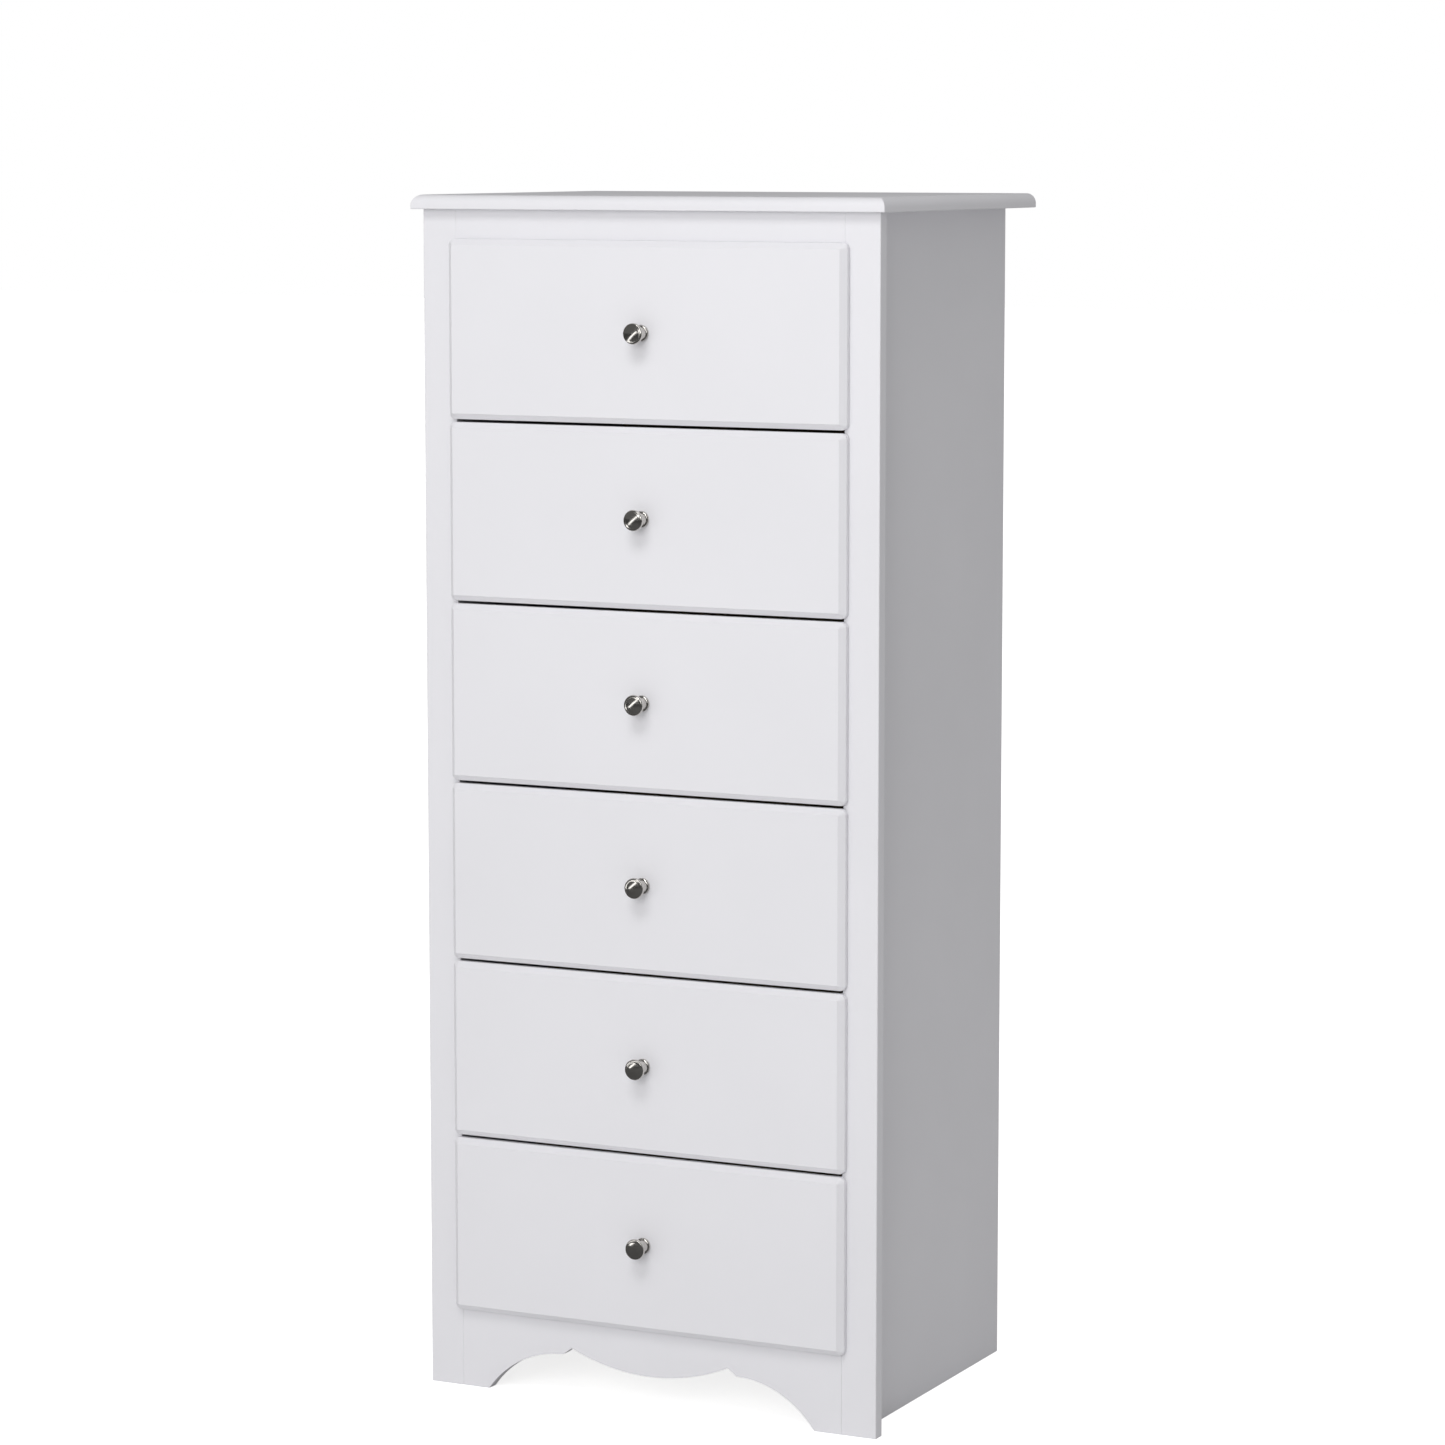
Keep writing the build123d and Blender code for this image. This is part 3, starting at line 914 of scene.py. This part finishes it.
def add_lights(scene, stage):
    """Two large lights in front, one high, and a narrow leaning one that streaks the knobs."""
    across, ahead = sin(stage.key_turn), -cos(stage.key_turn)
    chest_middle, strip_height = (0.0, 0.0, 0.75), 0.60
    for name, power, size, distance, height in (("Key", stage.key, (2.4, 2.0), 5.0, 2.1),
                                                ("High", stage.high, (1.6, 1.2), 2.7, 3.6)):
        add_light(scene, name, power, size, (across * distance, ahead * distance, height),
                  chest_middle)
    add_light(scene, "Strip", stage.strip, size=(0.28, 2.6), place=(-1.6, -3.2, strip_height),
              aim=(0.0, 0.0, strip_height), lean=radians(-52.0))


def light_walls(scene, stage):
    """Even walls: bright behind the chest for the camera, plain to light by, dim in mirrors."""
    dimming = 0.7
    world = bpy.data.worlds.new("Studio")
    world.use_nodes = True
    scene.world = world
    tree = world.node_tree
    background = tree.nodes["Background"]
    rays = add_node(tree, "ShaderNodeLightPath").outputs
    seen = calculate(tree, "MULTIPLY", rays["Is Camera Ray"], stage.backdrop - stage.ambient)
    walls = calculate(tree, "ADD", stage.ambient, seen)
    dim = calculate(tree, "ADD", 1.0, calculate(tree, "MULTIPLY", rays["Is Glossy Ray"], -dimming))
    tree.links.new(calculate(tree, "MULTIPLY", walls, dim), background.inputs["Strength"])
    background.inputs["Color"].default_value = (1.0, 1.0, 1.0, 1.0)


# Operators

class CHEST_OT_top(bpy.types.Operator):
    """Make the moulded top board"""
    bl_idname = "chest.top"
    bl_label = "Top Board"

    def execute(self, context):
        piece("moulded_top", moulded_top(context.scene.chest_shape), finish(satin_paint), "case",
              "white_paint", "top_panel")
        return {"FINISHED"}


class CHEST_OT_face_frame(bpy.types.Operator):
    """Make the stiles, the top rail and the scalloped apron"""
    bl_idname = "chest.face_frame"
    bl_label = "Face Frame"

    def execute(self, context):
        shape = context.scene.chest_shape
        for side in ("left", "right"):
            piece(f"eased_stile_{side}", stile(f"stile_{side}", shape), finish(satin_paint), "case",
                  "white_paint", f"stile_{side}")
        piece("eased_top_rail", eased_board(*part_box("top_rail"), shape.ease), finish(satin_paint),
              "case", "white_paint", "top_rail")
        piece("scalloped_apron", scalloped_apron(shape), finish(satin_paint), "case",
              "white_paint", "apron")
        return {"FINISHED"}


class CHEST_OT_side_panels(bpy.types.Operator):
    """Make the two side panels"""
    bl_idname = "chest.side_panels"
    bl_label = "Side Panels"

    def execute(self, context):
        for side in ("left", "right"):
            node = f"side_panel_{side}"
            piece(f"rebated_panel_{side}", side_panel(node, context.scene.chest_shape),
                  finish(satin_paint), "case", "white_paint", node)
        return {"FINISHED"}


class CHEST_OT_inner_boards(bpy.types.Operator):
    """Make the base panel, the rear rail, the glued blocks and the nailed back panel"""
    bl_idname = "chest.inner_boards"
    bl_label = "Inner Boards"

    def execute(self, context):
        shape = context.scene.chest_shape
        for name in ("base_panel", "rear_top_rail"):
            piece(f"faced_{name}", eased_board(*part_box(name), shape.ease), finish(faced_board),
                  "case", "bare_board", name)
        low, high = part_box("back_panel")
        nail_radius, nail_height = BACK_NAIL
        surface = high.y - nail_height
        board = eased_board(low, Vector((high.x, surface, high.z)), shape.ease / 2)
        piece("hardboard_back", board, finish(pressed_hardboard), "case", "hardboard", "back_panel")
        nails = bmesh.new()
        for x, z in nail_places():
            add_head(nails, (x, surface, z), (0.0, 1.0, 0.0), nail_radius, nail_height)
        piece("back_nails", nails, finish(zinc_plate), "case", "zinc_steel")
        piece("glued_blocks", glued_blocks(shape), finish(pine_along), "case", "softwood",
              "corner_blocks")
        return {"FINISHED"}


class CHEST_OT_drawer_fronts(bpy.types.Operator):
    """Make the six lipped drawer fronts"""
    bl_idname = "chest.drawer_fronts"
    bl_label = "Drawer Fronts"

    def execute(self, context):
        for drawer in DRAWERS:
            front = lipped_front(f"{drawer}_front", context.scene.chest_shape)
            piece(f"{drawer}_lipped_front", front, finish(satin_paint), drawer, "white_paint",
                  f"{drawer}_front")
        return {"FINISHED"}


class CHEST_OT_drawer_boxes(bpy.types.Operator):
    """Make the drawers' sides, backs, bottoms and fittings"""
    bl_idname = "chest.drawer_boxes"
    bl_label = "Drawer Boxes"

    def execute(self, context):
        shape = context.scene.chest_shape
        for drawer in DRAWERS:
            for side in ("left", "right"):
                node = f"{drawer}_side_{side}"
                piece(f"{drawer}_pine_{side}", grooved_side(node, shape), finish(pine_along),
                      drawer, "softwood", node)
            node = f"{drawer}_back"
            piece(f"{drawer}_pine_back", drawer_back(node, shape), finish(pine_across), drawer,
                  "softwood", node)
            node = f"{drawer}_bottom"
            piece(f"{drawer}_hardboard_floor", eased_board(*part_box(node), shape.ease / 4),
                  finish(pressed_hardboard), drawer, "hardboard", node)
            piece(f"{drawer}_fittings", drawer_fittings(drawer), finish(zinc_plate), drawer,
                  "zinc_steel")
        return {"FINISHED"}


class CHEST_OT_slides(bpy.types.Operator):
    """Finish the slide rails and add their screws"""
    bl_idname = "chest.slides"
    bl_label = "Slide Rails"

    def execute(self, context):
        wall, lift = 1.2 * MM, 10.0 * MM
        refinish("case_rails", finish(rail_enamel))
        case_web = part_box("case_rails")[1].x - wall
        case_screws = bmesh.new()
        for drawer in DRAWERS:
            node = f"{drawer}_rails"
            refinish(node, finish(rail_enamel))
            low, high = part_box(node)
            middle = (low.z + high.z) / 2
            drawer_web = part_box(f"{drawer}_side_right")[1].x + wall
            screws = bmesh.new()
            add_rail_screws(screws, node, drawer_web, False, middle + lift)
            piece(f"{drawer}_rail_screws", screws, finish(zinc_plate), drawer, "zinc_steel")
            add_rail_screws(case_screws, "case_rails", case_web, True, middle)
        piece("case_rail_screws", case_screws, finish(zinc_plate), "case", "zinc_steel")
        return {"FINISHED"}


class CHEST_OT_knobs(bpy.types.Operator):
    """Make the turned knobs and finish their screws"""
    bl_idname = "chest.knobs"
    bl_label = "Knobs"

    def execute(self, context):
        for drawer in DRAWERS:
            piece(f"{drawer}_turned_knob", turned_knob(f"{drawer}_knob", context.scene.chest_shape),
                  finish(satin_nickel), drawer, "satin_nickel", f"{drawer}_knob")
            refinish(f"{drawer}_knob_screw", finish(zinc_plate))
        return {"FINISHED"}


class CHEST_OT_studio(bpy.types.Operator):
    """Set up the camera, the floor and the light"""
    bl_idname = "chest.studio"
    bl_label = "Studio"

    def execute(self, context):
        scene, stage = context.scene, context.scene.chest_stage
        lens = bpy.data.cameras.new("Camera")
        lens.sensor_width, lens.lens, lens.clip_end = 36.0, stage.lens, 60.0
        camera = bpy.data.objects.new("Camera", lens)
        camera.location = stage.camera_place
        camera.rotation_euler = (pi / 2 - stage.camera_tilt, 0.0, stage.camera_turn)
        scene.collection.objects.link(camera)
        scene.camera = camera
        scene.view_settings.view_transform = "Standard"
        add_floor(scene)
        add_lights(scene, stage)
        light_walls(scene, stage)
        return {"FINISHED"}


# Panel, registration and main

class CHEST_PT_panel(bpy.types.Panel):
    """Settings and pieces of the chest"""
    bl_idname = "CHEST_PT_panel"
    bl_label = "Tall Chest of Drawers"
    bl_space_type = "VIEW_3D"
    bl_region_type = "UI"
    bl_category = "Chest"

    def draw(self, context):
        for group in GROUPS:
            box = self.layout.box()
            box.label(text=group.__doc__)
            for setting in group.__annotations__:
                box.prop(getattr(context.scene, GROUPS[group]), setting)
        for operator in OPERATORS:
            self.layout.operator(operator.bl_idname)


GROUPS = {ChestShape: "chest_shape", ChestFinish: "chest_finish", ChestStage: "chest_stage"}
OPERATORS = (CHEST_OT_studio, CHEST_OT_top, CHEST_OT_face_frame, CHEST_OT_side_panels,
             CHEST_OT_inner_boards, CHEST_OT_drawer_fronts, CHEST_OT_drawer_boxes, CHEST_OT_slides,
             CHEST_OT_knobs)
CLASSES = (*GROUPS, *OPERATORS, CHEST_PT_panel)


def register():
    for item in CLASSES:
        bpy.utils.register_class(item)
    for group, name in GROUPS.items():
        setattr(bpy.types.Scene, name, PointerProperty(type=group))


def unregister():
    for name in GROUPS.values():
        delattr(bpy.types.Scene, name)
    for item in reversed(CLASSES):
        bpy.utils.unregister_class(item)


def main():
    register()
    for operator in OPERATORS:
        family, name = operator.bl_idname.split(".")
        getattr(getattr(bpy.ops, family), name)()


if __name__ == "__main__":
    main()
